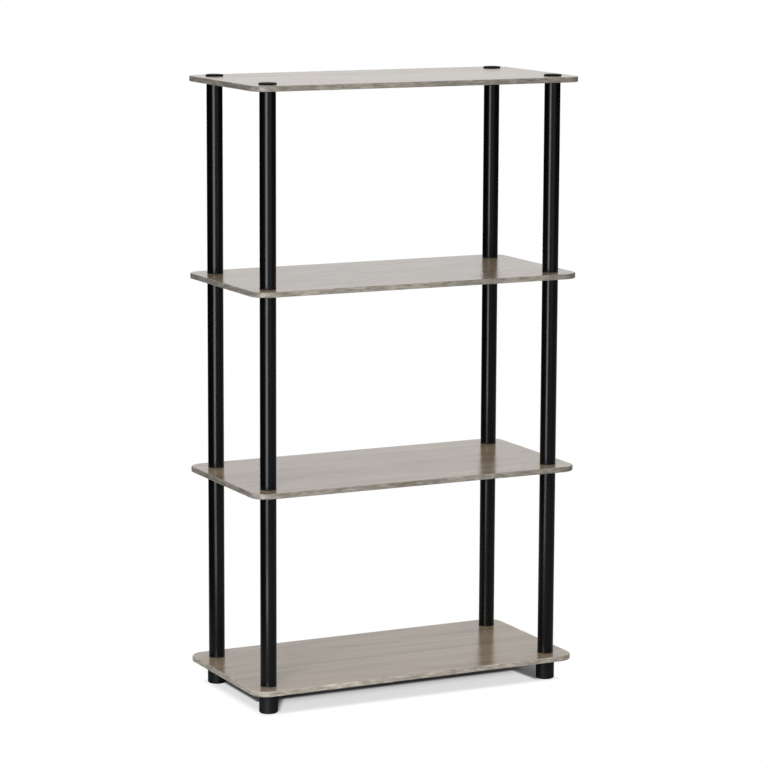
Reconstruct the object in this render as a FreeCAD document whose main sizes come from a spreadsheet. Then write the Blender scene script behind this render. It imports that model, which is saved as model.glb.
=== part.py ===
import FreeCAD, Part

# Four-tier open rack: laminated shelf boards carried on round tubes that screw together through them.
# Millimetres. +X is to the right, +Y to the back, +Z up. The origin is on the floor, under the middle.

import enum
import math
import os

import Sketcher

# Driving dimensions: name, value, meaning
SIZES = (
    ("shelf_width", 600.0, "shelf from its left edge to its right edge"),
    ("shelf_depth", 295.0, "shelf from its front edge to its back edge"),
    ("board_thickness", 9.0, "particle board with its laminate"),
    ("corner_radius", 28.0, "outside corner of a shelf, seen from above"),
    ("band_thickness", 2.0, "edge strip glued round the board"),
    ("band_rounding", 1.5, "outer edges of the edge strip"),
    ("shelf_pitch", 331.0, "underside of one shelf to the underside of the next"),
    ("post_inset_x", 38.0, "post axis from the shelf's side edge"),
    ("post_inset_y", 40.0, "post axis from the shelf's front or back edge"),
    ("tube_diameter", 27.0, "outside of a post tube"),
    ("tube_wall", 1.4, "wall of a post tube"),
    ("lip_thickness", 2.0, "lip of an end plug, which covers the tube's end"),
    ("plug_length", 18.0, "stud plug's body inside the tube"),
    ("plug_clearance", 0.1, "gap all round between a plug and its tube"),
    ("socket_wall", 4.8, "plastic round a socket plug's hole, which leaves the stud its room"),
    ("stud_engagement", 15.0, "stud's length inside the socket it screws into"),
    ("stud_chamfer", 1.5, "lead-in at a stud's tip"),
    ("thread_clearance", 0.2, "gap all round between a stud and its socket"),
    ("hole_clearance", 0.6, "gap all round between a stud and the board's hole"),
    ("socket_spare", 3.0, "socket's depth left beyond a stud's tip"),
    ("socket_floor", 2.5, "plastic under a socket plug's hole"),
    ("foot_height", 36.5, "floor to the underside of the lowest shelf"),
    ("foot_overhang", 2.25, "a foot's side beyond the tube's"),
    ("foot_rounding", 2.5, "foot's lower edge"),
    ("foot_top_rounding", 0.8, "foot's upper edge"),
    ("foot_land", 4.0, "width of the ring that a foot stands on, past its rounding"),
    ("foot_recess", 3.0, "depth of the hollow inside that ring"),
    ("cap_overhang", 1.25, "a cap's rim beyond the tube's side"),
    ("cap_rim", 2.6, "height of a cap's upright rim"),
    ("cap_dome", 1.0, "rise of a cap's dome above its rim"),
)

LEVELS = ("bottom", "lower", "upper", "top")
TIERS = ("lower", "middle", "upper")
CORNERS = ("front_left", "front_right", "back_left", "back_right")

# A rounding stays inside the wall that carries it
ROUNDING_SHARE = 0.9

# Lengths and radii that follow from the driving dimensions
TUBE_RADIUS = "sizes.tube_diameter / 2"
BORE_RADIUS = "sizes.tube_diameter / 2 - sizes.tube_wall"
PLUG_RADIUS = "sizes.tube_diameter / 2 - sizes.tube_wall - sizes.plug_clearance"
SOCKET_RADIUS = f"{PLUG_RADIUS} - sizes.socket_wall"
STUD_RADIUS = f"{SOCKET_RADIUS} - sizes.thread_clearance"
STUD_TIP_RADIUS = f"{STUD_RADIUS} - sizes.stud_chamfer"
STUD_LENGTH = "sizes.board_thickness + sizes.stud_engagement"
SOCKET_DEPTH = "sizes.stud_engagement + sizes.socket_spare"
SOCKET_PLUG_LENGTH = "sizes.stud_engagement + sizes.socket_spare + sizes.socket_floor"
HOLE_RADIUS = f"{STUD_RADIUS} + sizes.hole_clearance"
TUBE_LENGTH = "sizes.shelf_pitch - sizes.board_thickness - 2 * sizes.lip_thickness"
BAND_ROUNDING = (
    f"min(sizes.band_rounding; sizes.band_thickness * {ROUNDING_SHARE};"
    f" sizes.board_thickness / 2 * {ROUNDING_SHARE})"
)
FOOT_RADIUS = "sizes.tube_diameter / 2 + sizes.foot_overhang"
FOOT_RECESS_RADIUS = f"{FOOT_RADIUS} - sizes.foot_rounding - sizes.foot_land"
CAP_RADIUS = "sizes.tube_diameter / 2 + sizes.cap_overhang"

# Places of the post axes and of the shelves
POST_X = "(sizes.shelf_width / 2 - sizes.post_inset_x)"
POST_Y = "(sizes.shelf_depth / 2 - sizes.post_inset_y)"


def underside(level):
    """Height of a shelf's underside above the floor; the levels count from 0."""
    return f"sizes.foot_height + {level} * sizes.shelf_pitch"


def top_side(level):
    """Height of a shelf's upper face above the floor."""
    return f"{underside(level)} + sizes.board_thickness"


def post_axis(corner):
    """Where the post at that corner stands."""
    x = POST_X if corner.endswith("right") else f"-{POST_X}"
    y = POST_Y if corner.startswith("back") else f"-{POST_Y}"
    return x, y


class On(enum.IntEnum):
    """The points of a line, arc or circle that a sketch's constraints refer to."""

    START = 1
    END = 2
    CENTRE = 3


class Axis(enum.IntEnum):
    """A sketch's own axes; the origin is the start point of the horizontal one."""

    HORIZONTAL = -1
    VERTICAL = -2


ORIGIN = (Axis.HORIZONTAL, On.START)
FULL_TURN = 360.0
SAME_PLACE = 1e-6

doc = FreeCAD.newDocument("rack")
sheet = doc.addObject("Spreadsheet::Sheet", "sizes")
for row, (name, value, meaning) in enumerate(SIZES, start=1):
    sheet.set(f"A{row}", name)
    sheet.set(f"B{row}", str(value))
    sheet.set(f"C{row}", meaning)
    sheet.setAlias(f"B{row}", name)
doc.recompute()


def size(name):
    """The number in the sheet's cell of that name."""
    return float(sheet.get(name))


def new_body(label):
    """An empty body under its own label."""
    body = doc.addObject("PartDesign::Body", label)
    body.Label = label
    return body


def new_sketch(body, name, role):
    """A sketch on one of the body's own origin planes."""
    plane = next(feature for feature in body.Origin.OriginFeatures if feature.Role == role)
    sketch = body.newObject("Sketcher::SketchObject", name)
    sketch.AttachmentSupport = [(plane, "")]
    sketch.MapMode = "FlatFace"
    return sketch


def constrain(sketch, name, expression, *what):
    """A named dimension that follows the sheet."""
    index = sketch.addConstraint(Sketcher.Constraint(*what))
    sketch.renameConstraint(index, name)
    sketch.setExpression(f"Constraints.{name}", expression)


def add_circle(sketch, name, expression):
    """A circle round the origin whose radius follows an expression."""
    radius = size("tube_diameter") / 2
    circle = Part.Circle(FreeCAD.Vector(), FreeCAD.Vector(0, 0, 1), radius)
    index = sketch.addGeometry(circle)
    sketch.addConstraint(Sketcher.Constraint("Coincident", index, On.CENTRE, *ORIGIN))
    constrain(sketch, name, expression, "Radius", index, radius)


def quarters():
    """Signs of a shelf's four quarters, anticlockwise from the back right."""
    return ((1, 1), (-1, 1), (-1, -1), (1, -1))


def add_rounded_rectangle(sketch, name, inset):
    """The shelf's outline, drawn in by inset: four straight sides joined by four quarter circles."""
    gap = size(inset) if inset else 0
    inset_term = f" - sizes.{inset}" if inset else ""
    half_x = size("shelf_width") / 2 - gap
    half_y = size("shelf_depth") / 2 - gap
    radius = size("corner_radius") - gap
    up = FreeCAD.Vector(0, 0, 1)
    first = sketch.GeometryCount
    sides = len(quarters())
    for turn, (side_x, side_y) in enumerate(quarters()):
        centre = FreeCAD.Vector(side_x * (half_x - radius), side_y * (half_y - radius), 0)
        begin = turn * math.pi / 2
        sketch.addGeometry(Part.ArcOfCircle(Part.Circle(centre, up, radius), begin, begin + math.pi / 2))
    for turn in range(sides):
        arc = sketch.Geometry[first + turn]
        following = sketch.Geometry[first + (turn + 1) % sides]
        sketch.addGeometry(Part.LineSegment(arc.EndPoint, following.StartPoint))
    for turn in range(sides):
        arc, line, following = first + turn, first + sides + turn, first + (turn + 1) % sides
        direction = "Horizontal" if turn % 2 == 0 else "Vertical"
        sketch.addConstraint(Sketcher.Constraint("Tangent", arc, On.END, line, On.START))
        sketch.addConstraint(Sketcher.Constraint("Tangent", line, On.END, following, On.START))
        sketch.addConstraint(Sketcher.Constraint(direction, line))
    for turn in range(1, sides):
        sketch.addConstraint(Sketcher.Constraint("Equal", first, first + turn))
    centres = (first, On.CENTRE, first + 2, On.CENTRE)
    sketch.addConstraint(Sketcher.Constraint("Symmetric", *centres, *ORIGIN))
    constrain(sketch, f"{name}_radius", f"sizes.corner_radius{inset_term}", "Radius", first, radius)
    half_width = f"sizes.shelf_width / 2{inset_term}"
    half_depth = f"sizes.shelf_depth / 2{inset_term}"
    right, back = (first, On.START), (first, On.END)
    constrain(sketch, f"{name}_width", half_width, "DistanceX", *ORIGIN, *right, half_x)
    constrain(sketch, f"{name}_depth", half_depth, "DistanceY", *ORIGIN, *back, half_y)


def add_post_holes(sketch):
    """Four equal circles on the post axes, each the mirror of the first."""
    x = size("shelf_width") / 2 - size("post_inset_x")
    y = size("shelf_depth") / 2 - size("post_inset_y")
    radius = size("tube_diameter") / 4
    up = FreeCAD.Vector(0, 0, 1)
    first = sketch.GeometryCount
    for side_x, side_y in quarters():
        sketch.addGeometry(Part.Circle(FreeCAD.Vector(side_x * x, side_y * y, 0), up, radius))
    constrain(sketch, "hole_radius", HOLE_RADIUS, "Radius", first, radius)
    constrain(sketch, "hole_x", POST_X, "DistanceX", *ORIGIN, first, On.CENTRE, x)
    constrain(sketch, "hole_y", POST_Y, "DistanceY", *ORIGIN, first, On.CENTRE, y)
    for other, about in ((1, (Axis.VERTICAL,)), (2, ORIGIN), (3, (Axis.HORIZONTAL,))):
        circle = first + other
        sketch.addConstraint(Sketcher.Constraint("Equal", first, circle))
        sketch.addConstraint(Sketcher.Constraint("Symmetric", first, On.CENTRE, circle, On.CENTRE, *about))


def pad(body, sketch, length):
    """The sketch raised upwards by a length that follows the sheet."""
    feature = body.newObject("PartDesign::Pad", f"{body.Name}_pad")
    feature.Profile = sketch
    feature.setExpression("Length", length)
    sketch.Visibility = False
    return feature


def round_edges(body, base, name, edges, radius):
    """A fillet on the named edges of the body's last feature."""
    feature = body.newObject("PartDesign::Fillet", f"{body.Name}_{name}")
    feature.Base = (base, edges)
    feature.setExpression("Radius", radius)
    doc.recompute()
    return feature


def pin_corner(sketch, corner, radius, height):
    """Holds one corner of a half section at a radius and a height that follow the sheet."""
    point = sketch.getPoint(corner, On.START)
    for name, kind, axis, expression, distance in (
        ("radius", "DistanceX", Axis.VERTICAL, radius, point.x),
        ("height", "DistanceY", Axis.HORIZONTAL, height, point.y),
    ):
        if expression == "0":
            sketch.addConstraint(Sketcher.Constraint("PointOnObject", corner, On.START, axis))
        else:
            constrain(sketch, f"{name}_{corner}", expression, kind, *ORIGIN, corner, On.START, distance)


def close_with_dome(sketch, last):
    """An arc from the section's last corner, out at the rim, to its first, up on the axis.

    Its centre is on the axis, so its radius is (rim radius squared + rise squared) / (2 x rise).
    """
    rim = sketch.getPoint(last, On.END)
    top = sketch.getPoint(0, On.START)
    rise = top.y - rim.y
    radius = (rim.x**2 + rise**2) / (2 * rise)
    centre = FreeCAD.Vector(0, top.y - radius, 0)
    circle = Part.Circle(centre, FreeCAD.Vector(0, 0, 1), radius)
    start_angle = math.atan2(rim.y - centre.y, rim.x)
    arc = sketch.addGeometry(Part.ArcOfCircle(circle, start_angle, math.pi / 2))
    sketch.addConstraint(Sketcher.Constraint("Coincident", arc, On.START, last, On.END))
    sketch.addConstraint(Sketcher.Constraint("Coincident", arc, On.END, 0, On.START))
    sketch.addConstraint(Sketcher.Constraint("PointOnObject", arc, On.CENTRE, Axis.VERTICAL))


def turned(label, section, domed=False):
    """A body turned about its own upright axis.

    The section lists the (radius, height) corners of half of it, as expressions of the sheet. A straight
    line closes it, or a dome's arc whose rim is the last corner.
    """
    body = new_body(label)
    sketch = new_sketch(body, f"{label}_section", "XZ_Plane")
    corners = len(section)
    reach = size("tube_diameter")
    # The corners start on a circle, and their dimensions then carry each one to its place
    starts = [
        FreeCAD.Vector(math.cos(angle), math.sin(angle), 0) * reach
        for angle in (2 * math.pi * corner / corners for corner in range(corners))
    ]
    lines = corners - 1 if domed else corners
    for line in range(lines):
        sketch.addGeometry(Part.LineSegment(starts[line], starts[(line + 1) % corners]))
    for line in range(1, lines):
        sketch.addConstraint(Sketcher.Constraint("Coincident", line - 1, On.END, line, On.START))
    if not domed:
        sketch.addConstraint(Sketcher.Constraint("Coincident", lines - 1, On.END, 0, On.START))
    for corner, (radius, height) in enumerate(section[:lines]):
        pin_corner(sketch, corner, radius, height)
    if domed:
        radius, height = section[-1]
        rim = (lines - 1, On.END)
        point = sketch.getPoint(*rim)
        constrain(sketch, "rim_radius", radius, "DistanceX", *ORIGIN, *rim, point.x)
        constrain(sketch, "rim_height", height, "DistanceY", *ORIGIN, *rim, point.y)
        doc.recompute()
        close_with_dome(sketch, lines - 1)
    feature = body.newObject("PartDesign::Revolution", f"{label}_turned")
    feature.Profile = sketch
    feature.ReferenceAxis = (sketch, ["V_Axis"])
    feature.Angle = FULL_TURN
    sketch.Visibility = False
    doc.recompute()
    return body


def rings_at(shape, radius, height):
    """Names of the circular edges of that radius at that height."""
    names = []
    for number, edge in enumerate(shape.Edges, start=1):
        curve = edge.Curve
        if not isinstance(curve, Part.Circle):
            continue
        if abs(curve.Radius - radius) < SAME_PLACE and abs(curve.Center.z - height) < SAME_PLACE:
            names.append(f"Edge{number}")
    return names


def place(body, x, y, z):
    """Puts a body's own origin at a place that follows the sheet."""
    body.setExpression("Placement.Base.x", x)
    body.setExpression("Placement.Base.y", y)
    body.setExpression("Placement.Base.z", z)


def shelf_board(level):
    """Particle board faced with laminate, with a hole for each post's stud."""
    body = new_body(f"shelf_board_{LEVELS[level]}")
    sketch = new_sketch(body, f"{body.Name}_outline", "XY_Plane")
    add_rounded_rectangle(sketch, "board", "band_thickness")
    add_post_holes(sketch)
    pad(body, sketch, "sizes.board_thickness")
    place(body, "0", "0", underside(level))
    return body


def outer_edges(shape):
    """Names of the level edges on the outside of the edge strip."""
    half_x = size("shelf_width") / 2
    half_y = size("shelf_depth") / 2
    names = []
    for number, edge in enumerate(shape.Edges, start=1):
        points = [vertex.Point for vertex in edge.Vertexes]
        level = abs(points[0].z - points[-1].z) < SAME_PLACE
        outside = any(
            abs(abs(point.x) - half_x) < SAME_PLACE or abs(abs(point.y) - half_y) < SAME_PLACE
            for point in points
        )
        if level and outside:
            names.append(f"Edge{number}")
    return names


def edge_band(level):
    """Plastic strip glued round a board's edge, flush with both faces, its outer edges rounded."""
    body = new_body(f"edge_band_{LEVELS[level]}")
    sketch = new_sketch(body, f"{body.Name}_outline", "XY_Plane")
    add_rounded_rectangle(sketch, "outer", None)
    add_rounded_rectangle(sketch, "inner", "band_thickness")
    strip = pad(body, sketch, "sizes.board_thickness")
    doc.recompute()
    round_edges(body, strip, "rounding", outer_edges(strip.Shape), BAND_ROUNDING)
    place(body, "0", "0", underside(level))
    return body


def post_tube(tier, corner):
    """Plain round tube between the lips of its two end plugs."""
    body = new_body(f"post_tube_{TIERS[tier]}_{corner}")
    sketch = new_sketch(body, f"{body.Name}_ring", "XY_Plane")
    add_circle(sketch, "outside", TUBE_RADIUS)
    add_circle(sketch, "bore", BORE_RADIUS)
    pad(body, sketch, TUBE_LENGTH)
    place(body, *post_axis(corner), f"{top_side(tier)} + sizes.lip_thickness")
    return body


def stud_plug(tier, corner):
    """Plug in a tube's lower end: its lip sits on the shelf and its stud goes down through the hole."""
    body = turned(
        f"stud_plug_{TIERS[tier]}_{corner}",
        (
            ("0", f"-({STUD_LENGTH})"),
            (STUD_TIP_RADIUS, f"-({STUD_LENGTH})"),
            (STUD_RADIUS, f"-({STUD_LENGTH}) + sizes.stud_chamfer"),
            (STUD_RADIUS, "0"),
            (TUBE_RADIUS, "0"),
            (TUBE_RADIUS, "sizes.lip_thickness"),
            (PLUG_RADIUS, "sizes.lip_thickness"),
            (PLUG_RADIUS, "sizes.lip_thickness + sizes.plug_length"),
            ("0", "sizes.lip_thickness + sizes.plug_length"),
        ),
    )
    place(body, *post_axis(corner), top_side(tier))
    return body


def socket_plug(tier, corner):
    """Plug in a tube's upper end: its lip carries the next shelf and its socket takes the stud above."""
    body = turned(
        f"socket_plug_{TIERS[tier]}_{corner}",
        (
            ("0", f"-({SOCKET_PLUG_LENGTH})"),
            (PLUG_RADIUS, f"-({SOCKET_PLUG_LENGTH})"),
            (PLUG_RADIUS, "-sizes.lip_thickness"),
            (TUBE_RADIUS, "-sizes.lip_thickness"),
            (TUBE_RADIUS, "0"),
            (SOCKET_RADIUS, "0"),
            (SOCKET_RADIUS, f"-({SOCKET_DEPTH})"),
            ("0", f"-({SOCKET_DEPTH})"),
        ),
    )
    place(body, *post_axis(corner), underside(tier + 1))
    return body


def foot(corner):
    """Moulded foot under the lowest shelf: a socket for the post's stud above, a hollow ring below."""
    body = turned(
        f"foot_{corner}",
        (
            ("0", "sizes.foot_recess"),
            (FOOT_RECESS_RADIUS, "sizes.foot_recess"),
            (FOOT_RECESS_RADIUS, "0"),
            (FOOT_RADIUS, "0"),
            (FOOT_RADIUS, "sizes.foot_height"),
            (SOCKET_RADIUS, "sizes.foot_height"),
            (SOCKET_RADIUS, f"sizes.foot_height - ({SOCKET_DEPTH})"),
            ("0", f"sizes.foot_height - ({SOCKET_DEPTH})"),
        ),
    )
    radius = size("tube_diameter") / 2 + size("foot_overhang")
    lower = rings_at(body.Shape, radius, 0)
    rounded = round_edges(body, body.Tip, "lower_rounding", lower, "sizes.foot_rounding")
    upper = rings_at(rounded.Shape, radius, size("foot_height"))
    round_edges(body, rounded, "upper_rounding", upper, "sizes.foot_top_rounding")
    place(body, *post_axis(corner), "0")
    return body


def post_cap(corner):
    """Low domed cap on the top shelf: its stud goes down into the socket of the uppermost tube."""
    body = turned(
        f"post_cap_{corner}",
        (
            ("0", "sizes.cap_rim + sizes.cap_dome"),
            ("0", f"-({STUD_LENGTH})"),
            (STUD_TIP_RADIUS, f"-({STUD_LENGTH})"),
            (STUD_RADIUS, f"-({STUD_LENGTH}) + sizes.stud_chamfer"),
            (STUD_RADIUS, "0"),
            (CAP_RADIUS, "0"),
            (CAP_RADIUS, "sizes.cap_rim"),
        ),
        domed=True,
    )
    top_level = len(LEVELS) - 1
    place(body, *post_axis(corner), top_side(top_level))
    return body


def check(bodies):
    """Stops if a feature failed or a body isn't one sound solid."""
    failed = [item.Label for item in doc.Objects if {"Invalid", "Error"} & set(item.State)]
    if failed:
        raise RuntimeError(f"these features failed: {failed}")
    for body in bodies:
        shape = body.Shape
        if shape.isNull() or not shape.isValid() or len(shape.Solids) != 1:
            raise RuntimeError(f"{body.Label} isn't one sound solid")


pieces = []
for level in range(len(LEVELS)):
    pieces.append(shelf_board(level))
    pieces.append(edge_band(level))
for corner in CORNERS:
    pieces.append(foot(corner))
    for tier in range(len(TIERS)):
        pieces.append(stud_plug(tier, corner))
        pieces.append(post_tube(tier, corner))
        pieces.append(socket_plug(tier, corner))
    pieces.append(post_cap(corner))

doc.recompute()
check(pieces)
os.makedirs("parts", exist_ok=True)
for piece in pieces:
    piece.Shape.exportStep(f"parts/{piece.Label}.step")
print(f"{len(pieces)} pieces written")
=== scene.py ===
import math

import bpy
from bpy.props import FloatProperty, FloatVectorProperty, PointerProperty
from mathutils import Matrix, Vector


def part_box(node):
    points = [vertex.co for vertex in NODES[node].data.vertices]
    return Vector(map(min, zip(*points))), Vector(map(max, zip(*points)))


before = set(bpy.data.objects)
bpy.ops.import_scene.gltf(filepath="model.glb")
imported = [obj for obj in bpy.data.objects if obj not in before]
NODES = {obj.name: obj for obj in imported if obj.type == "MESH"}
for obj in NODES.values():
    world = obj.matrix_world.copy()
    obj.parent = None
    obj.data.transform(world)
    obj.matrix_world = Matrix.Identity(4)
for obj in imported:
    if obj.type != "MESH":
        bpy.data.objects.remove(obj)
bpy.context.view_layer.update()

bl_info = {
    "name": "Open Rack",
    "version": (1, 0, 0),
    "blender": (4, 5, 0),
    "location": "3D View > Sidebar > Rack",
    "description": "Finishes a four-tier open rack and sets up its studio",
    "category": "Object",
}

# The lowest shelf's outline is centred on the origin, so its highest corner gives half its size
HALF_WIDTH, HALF_DEPTH, LOWEST_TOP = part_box("edge_band_bottom")[1]

WHITE = (1.0, 1.0, 1.0)


def colour(name, description, default):
    """A colour property, in linear light."""
    return FloatVectorProperty(
        name=name, description=description, subtype="COLOR", size=3, min=0, max=1, default=default
    )


def share(name, description, default):
    """A property between nothing and all."""
    return FloatProperty(name=name, description=description, subtype="FACTOR", min=0, max=1, default=default)


def length(name, description, default):
    """A length property in metres."""
    return FloatProperty(
        name=name, description=description, subtype="DISTANCE", unit="LENGTH", min=0, default=default
    )


def angle(name, description, degrees):
    """An angle property, its default given in degrees."""
    return FloatProperty(
        name=name, description=description, subtype="ANGLE", unit="ROTATION", default=math.radians(degrees)
    )


def power(name, description, default):
    """A lamp's power property in watts."""
    return FloatProperty(name=name, description=description, unit="POWER", min=0, default=default)


def times(name, description, default):
    """A property that multiplies a brightness."""
    return FloatProperty(name=name, description=description, min=0, default=default)


class RACK_PG_laminate(bpy.types.PropertyGroup):
    """Greyed oak print on the faces of the shelves."""

    dark: colour("Dark grain", "Deepest tone of the print", (0.180, 0.132, 0.080))
    middle: colour("Ground", "Most common tone of the print", (0.296, 0.226, 0.149))
    light: colour("Light grain", "Palest tone of the print", (0.392, 0.312, 0.213))
    pore: colour("Pores", "Fine dark dashes of the print", (0.100, 0.073, 0.044))
    roughness: share("Roughness", "Satin sheen of the laminate", 0.21)
    streak_length: length("Streak length", "Length of the soft streaks along the shelf", 0.30)
    streak_width: length("Streak width", "Width of the soft streaks", 0.009)
    relief: length("Relief", "Depth of the pressed grain", 0.00004)


class RACK_PG_strip(bpy.types.PropertyGroup):
    """Printed plastic strip round the shelves' edges."""

    dark: colour("Dark mottle", "Deepest tone of the strip", (0.145, 0.122, 0.088))
    middle: colour("Ground", "Most common tone of the strip", (0.240, 0.213, 0.174))
    light: colour("Light mottle", "Palest tone of the strip", (0.420, 0.365, 0.295))
    roughness: share("Roughness", "Sheen of the strip", 0.38)
    mottle: length("Mottle", "Usual length of a mottle along the strip", 0.016)
    relief: length("Relief", "Depth of the pressed grain", 0.00003)
    # Painted light: how much the lowest strip is brightened, standing in for light from the floor
    painted_floor_light: times("Paler lowest strip", "How many times as bright the lowest strip is", 1.5)


class RACK_PG_plastic(bpy.types.PropertyGroup):
    """The black plastics: drawn tubes and moulded fittings."""

    tube: colour("Tube", "Black of the tubes", (0.0014, 0.0014, 0.0015))
    tube_roughness: share("Tube roughness", "Sheen of the tubes", 0.22)
    tube_shine: share("Tube shine", "How strongly the tubes reflect", 0.3)
    tube_relief: length("Tube relief", "Depth of the drawn lines and orange peel", 0.000005)
    fitting: colour("Fittings", "Black of the feet, caps and plugs", (0.0030, 0.0030, 0.0031))
    fitting_roughness: share("Fitting roughness", "Sheen of the moulded fittings", 0.50)
    fitting_shine: share("Fitting shine", "How strongly the feet and plugs reflect", 0.3)
    cap_shine: share("Cap shine", "How strongly the caps reflect", 0.08)
    fitting_relief: length("Fitting relief", "Depth of the spark grain", 0.00003)


class RACK_PG_studio(bpy.types.PropertyGroup):
    """Camera, lamps and room."""

    eye: FloatVectorProperty(
        name="Camera place",
        description="Where the camera stands",
        subtype="TRANSLATION",
        unit="LENGTH",
        size=3,
        default=(-2.3487, -4.7344, 1.4003),
    )
    heading: angle("Heading", "How far the camera turns from the back towards the right", 26.4073)
    tilt: angle("Tilt", "How far the camera looks up", -9.4919)
    roll: angle("Roll", "How far the camera leans", 0.2564)
    lens: FloatProperty(name="Lens", description="Focal length", unit="CAMERA", min=1, default=147.977)
    key: power("Key lamp", "Power of the tall lamp at the front left", 26)
    fill: power("Fill lamp", "Power of the wide lamp at the front", 11)
    low: power("Low lamp", "Power of the small lamp just above the floor", 0.6)
    ambient: times("Ceiling", "Brightness of the room's ceiling", 0.88)
    wall: times("Wall", "Brightness of the wall at the right", 0.8)
    backdrop: times("Backdrop", "Brightness of the backdrop as the rack reflects it", 1.21)


class Graph:
    """One material's or world's nodes, added and joined by name."""

    def __init__(self, owner):
        owner.use_nodes = True
        self.tree = owner.node_tree
        self.tree.nodes.clear()

    def add(self, kind, inputs=(), **settings):
        """A node of that kind with its settings, its inputs set to values or joined to sockets."""
        node = self.tree.nodes.new(kind)
        for name, value in settings.items():
            setattr(node, name, value)
        for name, value in dict(inputs).items():
            if isinstance(value, bpy.types.NodeSocket):
                self.tree.links.new(value, node.inputs[name])
            else:
                node.inputs[name].default_value = value
        return node

    def math(self, operation, first, second=0.0, third=0.0):
        """The result of one sum on numbers or sockets."""
        return self.add("ShaderNodeMath", {0: first, 1: second, 2: third}, operation=operation).outputs[0]

    def product(self, first, *others):
        """Numbers or sockets multiplied together."""
        for other in others:
            first = self.math("MULTIPLY", first, other)
        return first

    def added(self, first, *parts):
        """A first value plus the product of each (value, factor) pair."""
        for value, factor in parts:
            first = self.math("MULTIPLY_ADD", value, factor, first)
        return first

    def place(self):
        """Places on the piece, in metres."""
        return self.add("ShaderNodeTexCoord").outputs["Object"]

    def apart(self, vector):
        """A vector's X, Y and Z."""
        return tuple(self.add("ShaderNodeSeparateXYZ", {"Vector": vector}).outputs)

    def stretched(self, vector, sizes):
        """Places counted in spans of the given lengths along X, Y and Z."""
        scale = [1 / size for size in sizes]
        return self.add("ShaderNodeMapping", {"Vector": vector, "Scale": scale}).outputs[0]

    def noise(self, vector, sizes, detail=2.0, roughness=0.5):
        """Soft noise whose lumps are about the given sizes along X, Y and Z."""
        inputs = {
            "Vector": self.stretched(vector, sizes),
            "Scale": 1.0,
            "Detail": detail,
            "Roughness": roughness,
        }
        return self.add("ShaderNodeTexNoise", inputs).outputs["Fac"]

    def ranged(self, value, span, result=(0.0, 1.0)):
        """The span's low to high spread smoothly over the result's, and held at its ends."""
        inputs = {
            "Value": value,
            "From Min": span[0],
            "From Max": span[1],
            "To Min": result[0],
            "To Max": result[1],
        }
        return self.add("ShaderNodeMapRange", inputs, interpolation_type="SMOOTHSTEP").outputs[0]

    def ramp(self, value, stops):
        """A colour for each value, between (value, colour) stops."""
        node = self.add("ShaderNodeValToRGB", {"Fac": value})
        elements = node.color_ramp.elements
        while len(elements) < len(stops):
            elements.new(0.5)
        for element, (position, tone) in zip(elements, stops):
            element.position = position
            element.color = (*tone, 1.0)
        return node.outputs["Color"]

    def blend(self, factor, first, second, kind="MIX"):
        """Two colours mixed."""
        node = self.add("ShaderNodeMix", {"Factor": factor}, data_type="RGBA", blend_type=kind)
        colour_sockets = (node.inputs[6], node.inputs[7])
        for socket, value in zip(colour_sockets, (first, second)):
            if isinstance(value, bpy.types.NodeSocket):
                self.tree.links.new(value, socket)
            else:
                socket.default_value = (*value, 1.0)
        return node.outputs[2]

    def bump(self, height, depth):
        """A surface raised by a height of nothing to one times the depth."""
        return self.add("ShaderNodeBump", {"Height": height, "Distance": depth}).outputs["Normal"]

    def surface(self, inputs):
        """The finished surface."""
        shader = self.add("ShaderNodeBsdfPrincipled", inputs)
        self.add("ShaderNodeOutputMaterial", {"Surface": shader.outputs[0]})


def finish_nodes(prefixes, material):
    """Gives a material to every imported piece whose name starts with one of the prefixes."""
    found = [piece for name, piece in NODES.items() if name.startswith(prefixes)]
    if not found:
        raise RuntimeError(f"the frame has no piece named {prefixes}")
    for piece in found:
        for slot in piece.material_slots:
            slot.material = material


def laminate_material(look):
    """Oak print: long soft streaks and arched growth lines, fine fibres and dark pores, all along X."""
    graph = Graph(material := bpy.data.materials.new("greyed oak laminate"))
    place = graph.place()
    width, span = look.streak_width, look.streak_length
    # The shelves stand further apart than this, so each has its own print
    level = span
    # The lines sway by up to three streaks across the shelf
    sway = graph.noise(place, (span * 1.4, span * 0.7, level), detail=1.0)
    along, across, up = graph.apart(place)
    across = graph.added(across, (sway, 3 * width))
    swayed = graph.add("ShaderNodeCombineXYZ", {"X": along, "Y": across, "Z": up}).outputs[0]
    broad = graph.noise(swayed, (span * 2.5, width * 4.5, level), detail=2.0)
    streak = graph.noise(swayed, (span, width, level), detail=3.0, roughness=0.6)
    fibre = graph.noise(swayed, (span * 0.25, width * 0.13, level), detail=2.0, roughness=0.6)
    # Contours of a slow, stretched noise close into arches, as growth lines do; 70 radians are 11 lines
    slow = graph.noise(swayed, (span * 3.2, width * 16, level), detail=1.0)
    lines = graph.math("SINE", graph.product(slow, 70.0))
    arches = graph.added(0.5, (lines, 0.5))
    # Each noise is near a half, and the last number brings their sum near a half again
    tone = graph.added(-0.385, (broad, 0.80), (streak, 0.45), (fibre, 0.40), (arches, 0.10))
    colours = graph.ramp(tone, ((0.21, look.dark), (0.5, look.middle), (0.79, look.light)))
    # Pores are thin dashes, and there are more of them where the streaks are dark
    pore_length, pore_width = 0.009, 0.00045
    dashes = graph.noise(swayed, (pore_length, pore_width, level), detail=1.0)
    pores = graph.product(graph.ranged(dashes, (0.62, 0.74)), graph.ranged(streak, (0.62, 0.40)))
    colours = graph.blend(graph.product(pores, 0.55), colours, look.pore)
    # Wiping leaves the sheen a little uneven
    wiped = graph.noise(place, (0.09, 0.05, level), detail=2.0)
    rough = graph.added(look.roughness - 0.08, (fibre, 0.10), (wiped, 0.06))
    height = graph.math("SUBTRACT", graph.product(fibre, 0.5), graph.product(pores, 0.5))
    graph.surface(
        {
            "Base Color": colours,
            "Roughness": rough,
            "IOR": 1.5,
            "Normal": graph.bump(height, look.relief),
        }
    )
    return material


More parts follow.
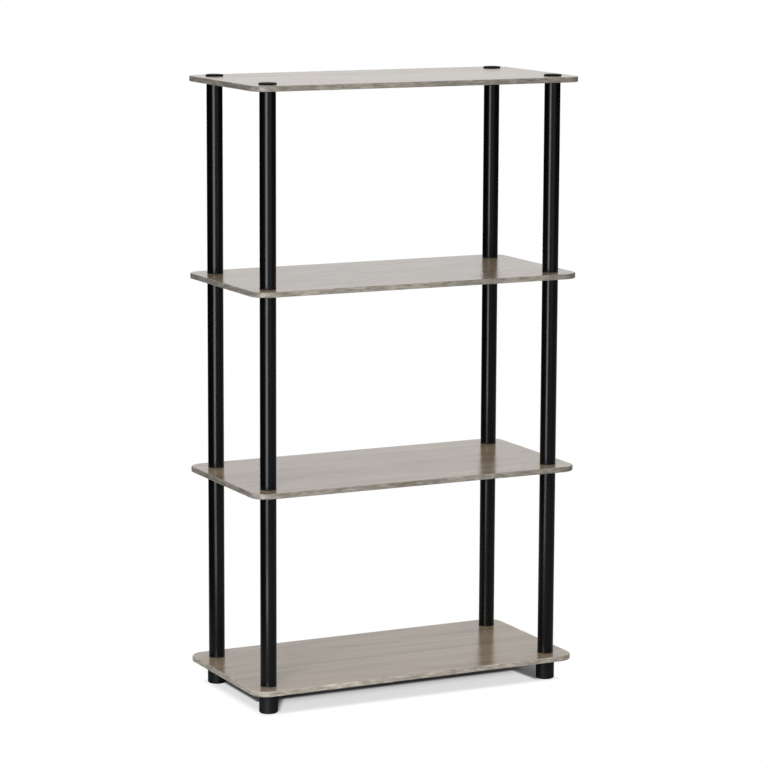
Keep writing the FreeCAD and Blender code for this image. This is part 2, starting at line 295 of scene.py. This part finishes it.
def strip_material(look):
    """Printed strip: short mottles of a few tones along the edge, with fine fibres."""
    graph = Graph(material := bpy.data.materials.new("oak edge strip"))
    place = graph.place()
    run = look.mottle
    mottle = graph.noise(place, (run, run, run * 0.22), detail=3.0, roughness=0.6)
    broad = graph.noise(place, (run * 6, run * 6, run * 2), detail=1.0)
    fibre = graph.noise(place, (run * 0.5, run * 0.5, run * 0.03), detail=2.0)
    # Each noise is near a half, and the first number brings their sum near a half again
    tone = graph.added(-0.15, (mottle, 0.7), (broad, 0.3), (fibre, 0.3))
    colours = graph.ramp(tone, ((0.31, look.dark), (0.5, look.middle), (0.69, look.light)))
    # Painted light: the lowest strip is brightened, as light from the floor below would do, up to a height
    # well clear of it
    up = graph.apart(place)[2]
    lowest = graph.ranged(up, (LOWEST_TOP + 0.02, LOWEST_TOP + 0.03), (1.0, 0.0))
    colours = graph.blend(lowest, colours, [look.painted_floor_light] * 3, kind="MULTIPLY")
    graph.surface(
        {
            "Base Color": colours,
            "Roughness": graph.added(look.roughness - 0.06, (fibre, 0.12)),
            "IOR": 1.5,
            "Normal": graph.bump(fibre, look.relief),
        }
    )
    return material


def tube_material(look):
    """Drawn black tube: faint lines along its length and a slight orange peel."""
    graph = Graph(material := bpy.data.materials.new("black tube plastic"))
    place = graph.place()
    drawn = graph.noise(place, (0.0012, 0.0012, 0.4), detail=2.0)
    peel = graph.noise(place, (0.0022, 0.0022, 0.0030), detail=1.0)
    handled = graph.noise(place, (0.05, 0.05, 0.09), detail=2.0)
    pale = [part * 1.6 for part in look.tube]
    height = graph.added(0.0, (peel, 0.4), (drawn, 0.6))
    graph.surface(
        {
            "Base Color": graph.blend(drawn, look.tube, pale),
            "Roughness": graph.added(look.tube_roughness - 0.06, (drawn, 0.06), (handled, 0.06)),
            "IOR": 1.46,
            "Specular IOR Level": look.tube_shine,
            "Normal": graph.bump(height, look.tube_relief),
        }
    )
    return material


def fitting_material(name, look, shine):
    """Moulded black plastic with a fine even spark grain."""
    graph = Graph(material := bpy.data.materials.new(name))
    place = graph.place()
    grain = graph.noise(place, (0.0007, 0.0007, 0.0007), detail=2.0)
    cloud = graph.noise(place, (0.012, 0.012, 0.012), detail=2.0)
    pale = [part * 1.9 for part in look.fitting]
    graph.surface(
        {
            "Base Color": graph.blend(cloud, look.fitting, pale),
            "Roughness": graph.added(look.fitting_roughness - 0.10, (grain, 0.12), (cloud, 0.08)),
            "IOR": 1.48,
            "Specular IOR Level": shine,
            "Normal": graph.bump(grain, look.fitting_relief),
        }
    )
    return material


class RACK_OT_boards(bpy.types.Operator):
    """Finish the four shelf boards with their oak print"""

    bl_idname = "rack.boards"
    bl_label = "Shelf boards"

    def execute(self, context):
        finish_nodes(("shelf_board_",), laminate_material(context.scene.rack_laminate))
        return {"FINISHED"}


class RACK_OT_strips(bpy.types.Operator):
    """Finish the edge strips of the four shelves"""

    bl_idname = "rack.strips"
    bl_label = "Edge strips"

    def execute(self, context):
        finish_nodes(("edge_band_",), strip_material(context.scene.rack_strip))
        return {"FINISHED"}


class RACK_OT_tubes(bpy.types.Operator):
    """Finish the twelve post tubes"""

    bl_idname = "rack.tubes"
    bl_label = "Post tubes"

    def execute(self, context):
        finish_nodes(("post_tube_",), tube_material(context.scene.rack_plastic))
        return {"FINISHED"}


class RACK_OT_fittings(bpy.types.Operator):
    """Finish the feet, the caps and the plugs in the tubes' ends"""

    bl_idname = "rack.fittings"
    bl_label = "Feet, caps and plugs"

    def execute(self, context):
        look = context.scene.rack_plastic
        moulded = fitting_material("black moulded plastic", look, look.fitting_shine)
        finish_nodes(("foot_", "stud_plug_", "socket_plug_"), moulded)
        finish_nodes(("post_cap_",), fitting_material("black cap plastic", look, look.cap_shine))
        return {"FINISHED"}


def add_object(name, data, matrix=None):
    """Links a new object into the scene."""
    item = bpy.data.objects.new(name, data)
    bpy.context.scene.collection.objects.link(item)
    if matrix:
        item.matrix_world = matrix
    return item


def camera_matrix(studio):
    """The camera's place and turn: heading about the upright, then tilt, then roll."""
    heading, tilt, roll = studio.heading, studio.tilt, studio.roll
    level = Vector((math.sin(heading), math.cos(heading), 0))
    forward = level * math.cos(tilt) + Vector((0, 0, math.sin(tilt)))
    side = Vector((math.cos(heading), -math.sin(heading), 0))
    top = side.cross(forward)
    right = side * math.cos(roll) + top * math.sin(roll)
    up = top * math.cos(roll) - side * math.sin(roll)
    turn = Matrix((right, up, -forward)).transposed().to_4x4()
    return Matrix.Translation(studio.eye) @ turn


def add_camera(studio):
    """The photograph's viewing angle."""
    data = bpy.data.cameras.new("camera")
    data.lens = studio.lens
    bpy.context.scene.camera = add_object("camera", data, camera_matrix(studio))


def add_softbox(name, place, aim, width, height, watts, tint=WHITE):
    """A rectangular lamp at a place, aimed at another, which the camera doesn't see."""
    data = bpy.data.lights.new(name, "AREA")
    data.color = tint
    data.shape = "RECTANGLE"
    data.size = width
    data.size_y = height
    data.energy = watts
    direction = Vector(aim) - Vector(place)
    turn = direction.to_track_quat("-Z", "Y").to_matrix().to_4x4()
    lamp = add_object(name, data, Matrix.Translation(place) @ turn)
    lamp.visible_camera = False


# Where the floor's painted shade fades, in metres past the lowest shelf's outline: less than 0 is under it
SHADE_EDGE = (-0.034, -0.011)
DEEPER_SIDES = (-0.135, -0.0675)
DEEPER_ENDS = (-0.10, -0.06)
DARK_ENDS = (-0.051, -0.043)

# Where it fades from front to back, in metres behind the rack's middle
DARK_FRONT = (-0.050, -0.036)
DARK_BACK = (0.13, 0.19)
FOOT_SHADE_BACK = (0.0, 0.08)

# Painted shadows behind two feet: the foot, then for each side of its shade how far right of the foot's
# middle it starts, in metres, and its lean to the right, in radians
FOOT_SHADES = (
    ("foot_front_left", (-0.010, 0.46), (0.0185, 0.52)),
    ("foot_front_right", (-0.0214, -0.11), (0.013, 0.46)),
)
FOOT_SHADE_DEPTH = 0.95
FOOT_SHADE_BLUR = (-0.006, 0.006)
# Where such a painted shadow starts, in metres behind its foot's middle
FOOT_SHADE_START = (-0.012, 0.004)


def right_of(graph, across, back, corner, lean):
    """Distance to the right of a line on the floor that runs back from a point, leaning to the right."""
    right = graph.math("SUBTRACT", across, corner[0])
    behind = graph.math("SUBTRACT", back, corner[1])
    return graph.added(graph.product(behind, -math.sin(lean)), (right, math.cos(lean)))


def painted_foot_shadow(graph, across, back, foot, left, right):
    """White left in a painted shadow behind a foot, between two lines given by offset and lean."""
    low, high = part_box(foot)
    middle = (low + high) / 2
    shade = graph.ranged(back, [middle.y + start for start in FOOT_SHADE_START])
    for (offset, lean), lit_side in ((left, -1), (right, 1)):
        beyond = right_of(graph, across, back, (middle.x + offset, middle.y), lean)
        beyond = graph.product(beyond, lit_side)
        shade = graph.product(shade, graph.ranged(beyond, FOOT_SHADE_BLUR, (FOOT_SHADE_DEPTH, 0.0)))
    shade = graph.product(shade, graph.ranged(back, FOOT_SHADE_BACK, (1.0, 0.0)))
    return graph.math("SUBTRACT", 1.0, shade)


def floor_material():
    """Matt paper, which the camera sees as plain white except in a painted shade under the rack, where the
    paper's own shadow shows through.
    """
    graph = Graph(material := bpy.data.materials.new("white floor"))
    white = graph.add("ShaderNodeEmission", {"Color": (*WHITE, 1.0), "Strength": 1.0}).outputs[0]
    camera_ray = graph.add("ShaderNodeLightPath").outputs["Is Camera Ray"]
    across, back, _ = graph.apart(graph.place())
    # The paper ends at the left, where the studio's floor is dark
    paper = graph.ranged(across, (-1.0, -0.45), (0.02, 0.4))
    paper = graph.add("ShaderNodeCombineColor", {0: paper, 1: paper, 2: paper}).outputs[0]
    matt = graph.add("ShaderNodeBsdfDiffuse", {"Color": paper}).outputs[0]
    past_end = graph.math("SUBTRACT", graph.math("ABSOLUTE", across), HALF_WIDTH)
    past_side = graph.math("SUBTRACT", graph.math("ABSOLUTE", back), HALF_DEPTH)
    outside = graph.math("MAXIMUM", past_end, past_side)
    # Painted shade: under the shelf some of the white gives way to the paper, which shows the rack's own
    # shadow
    under = graph.ranged(outside, SHADE_EDGE, (0.68, 1.0))
    # The painted shade deepens inwards, but not near the shelf's ends
    inward = graph.math(
        "MAXIMUM", graph.ranged(past_side, DEEPER_SIDES, (0.30, 1.0)), graph.ranged(past_end, DEEPER_ENDS)
    )
    # Painted shade: from the middle back no white is left, which shows as a dark line below the shelf's edge
    dark = graph.product(
        graph.ranged(past_end, DARK_ENDS, (1.0, 0.0)),
        graph.ranged(back, DARK_FRONT),
        graph.ranged(back, DARK_BACK, (1.0, 0.0)),
    )
    lit = graph.product(under, inward, graph.math("SUBTRACT", 1.0, dark))
    # Painted shadows run back from the two front feet
    for foot, left, right in FOOT_SHADES:
        lit = graph.product(lit, painted_foot_shadow(graph, across, back, foot, left, right))
    seen_white = graph.product(camera_ray, lit)
    mixed = graph.add("ShaderNodeMixShader", {0: seen_white, 1: matt, 2: white}).outputs[0]
    graph.add("ShaderNodeOutputMaterial", {"Surface": mixed})
    return material


def add_floor(reach):
    """A flat square floor under the rack."""
    mesh = bpy.data.meshes.new("floor")
    corners = [(-reach, -reach, 0), (reach, -reach, 0), (reach, reach, 0), (-reach, reach, 0)]
    mesh.from_pydata(corners, [], [(0, 1, 2, 3)])
    mesh.materials.append(floor_material())
    add_object("floor", mesh)


def add_world(studio):
    """White to the camera; otherwise a room with a bright backdrop behind the rack.

    A world's Generated coordinates are the direction looked in, one long: X right, Y back, Z up.
    """
    world = bpy.data.worlds.new("studio")
    bpy.context.scene.world = world
    graph = Graph(world)
    right, back, up = graph.apart(graph.add("ShaderNodeTexCoord").outputs["Generated"])
    # The backdrop stands behind the rack and to its right, and is brightest a little above the horizon
    backdrop = graph.product(
        studio.backdrop,
        graph.ranged(back, (0.45, 0.75)),
        graph.ranged(right, (-0.3, 0.1)),
        graph.ranged(up, (0.20, 0.36), (1.0, 0.45)),
        graph.ranged(up, (0.07, 0.20), (0.81, 1.02)),
    )
    # The ceiling is dim at the left
    ceiling = graph.product(
        studio.ambient, graph.ranged(up, (0.20, 0.55)), graph.ranged(right, (-0.9, -0.1), (0.15, 1.0))
    )
    # A pale wall stands far to the right
    wall = graph.product(
        studio.wall, graph.ranged(right, (0.55, 0.85)), graph.ranged(up, (0.06, 0.25))
    )
    room = graph.math("MAXIMUM", graph.math("MAXIMUM", backdrop, ceiling), wall)
    # Nothing below the horizon gives light
    room = graph.product(room, graph.ranged(up, (-0.12, -0.02)))
    camera_ray = graph.add("ShaderNodeLightPath").outputs["Is Camera Ray"]
    strength = graph.math("MAXIMUM", camera_ray, room)
    # The room is a little warmer near the horizon
    tint = graph.blend(graph.ranged(up, (0.05, 0.14)), (1.0, 0.98, 0.965), (1.0, 1.0, 1.01))
    tint = graph.blend(camera_ray, tint, WHITE)
    light = graph.add("ShaderNodeBackground", {"Color": tint, "Strength": strength}).outputs[0]
    graph.add("ShaderNodeOutputWorld", {"Surface": light})


class RACK_OT_stage(bpy.types.Operator):
    """Set up the floor, the room, the lamps and the camera"""

    bl_idname = "rack.stage"
    bl_label = "Studio"

    def execute(self, context):
        studio = context.scene.rack_studio
        context.scene.view_settings.view_transform = "Standard"
        add_camera(studio)
        add_world(studio)
        add_floor(reach=6.0)
        add_softbox(
            "key lamp",
            place=(-1.174, -1.123, 0.80),
            aim=(0, 0, 0.80),
            width=0.65,
            height=1.58,
            watts=studio.key,
            tint=(0.94, 0.99, 1.07),
        )
        add_softbox(
            "fill lamp", place=(-0.05, -2.8, 1.2), aim=(0, 0, 0.9), width=2.6, height=2.0, watts=studio.fill
        )
        add_softbox(
            "low lamp",
            place=(-0.66, -0.56, 0.065),
            aim=(-0.26, -0.11, 0.065),
            width=0.26,
            height=0.11,
            watts=studio.low,
        )
        return {"FINISHED"}


OPERATORS = (RACK_OT_boards, RACK_OT_strips, RACK_OT_tubes, RACK_OT_fittings, RACK_OT_stage)

GROUPS = {
    "rack_laminate": RACK_PG_laminate,
    "rack_strip": RACK_PG_strip,
    "rack_plastic": RACK_PG_plastic,
    "rack_studio": RACK_PG_studio,
}


class RACK_PT_panel(bpy.types.Panel):
    """Lists the rack's pieces, its finishes and its studio."""

    bl_idname = "RACK_PT_panel"
    bl_label = "Rack"
    bl_space_type = "VIEW_3D"
    bl_region_type = "UI"
    bl_category = "Rack"

    def draw(self, context):
        for operator in OPERATORS:
            self.layout.operator(operator.bl_idname)
        for group in GROUPS:
            box = self.layout.box()
            settings = getattr(context.scene, group)
            for name in settings.__annotations__:
                box.prop(settings, name)


CLASSES = (*GROUPS.values(), *OPERATORS, RACK_PT_panel)


def register():
    """Adds the classes and the scene's settings."""
    for cls in CLASSES:
        bpy.utils.register_class(cls)
    for name, cls in GROUPS.items():
        setattr(bpy.types.Scene, name, PointerProperty(type=cls))


def unregister():
    """Takes them away again."""
    for name in GROUPS:
        delattr(bpy.types.Scene, name)
    for cls in reversed(CLASSES):
        bpy.utils.unregister_class(cls)


def main():
    """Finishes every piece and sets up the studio."""
    register()
    bpy.ops.rack.boards()
    bpy.ops.rack.strips()
    bpy.ops.rack.tubes()
    bpy.ops.rack.fittings()
    bpy.ops.rack.stage()


if __name__ == "__main__":
    main()
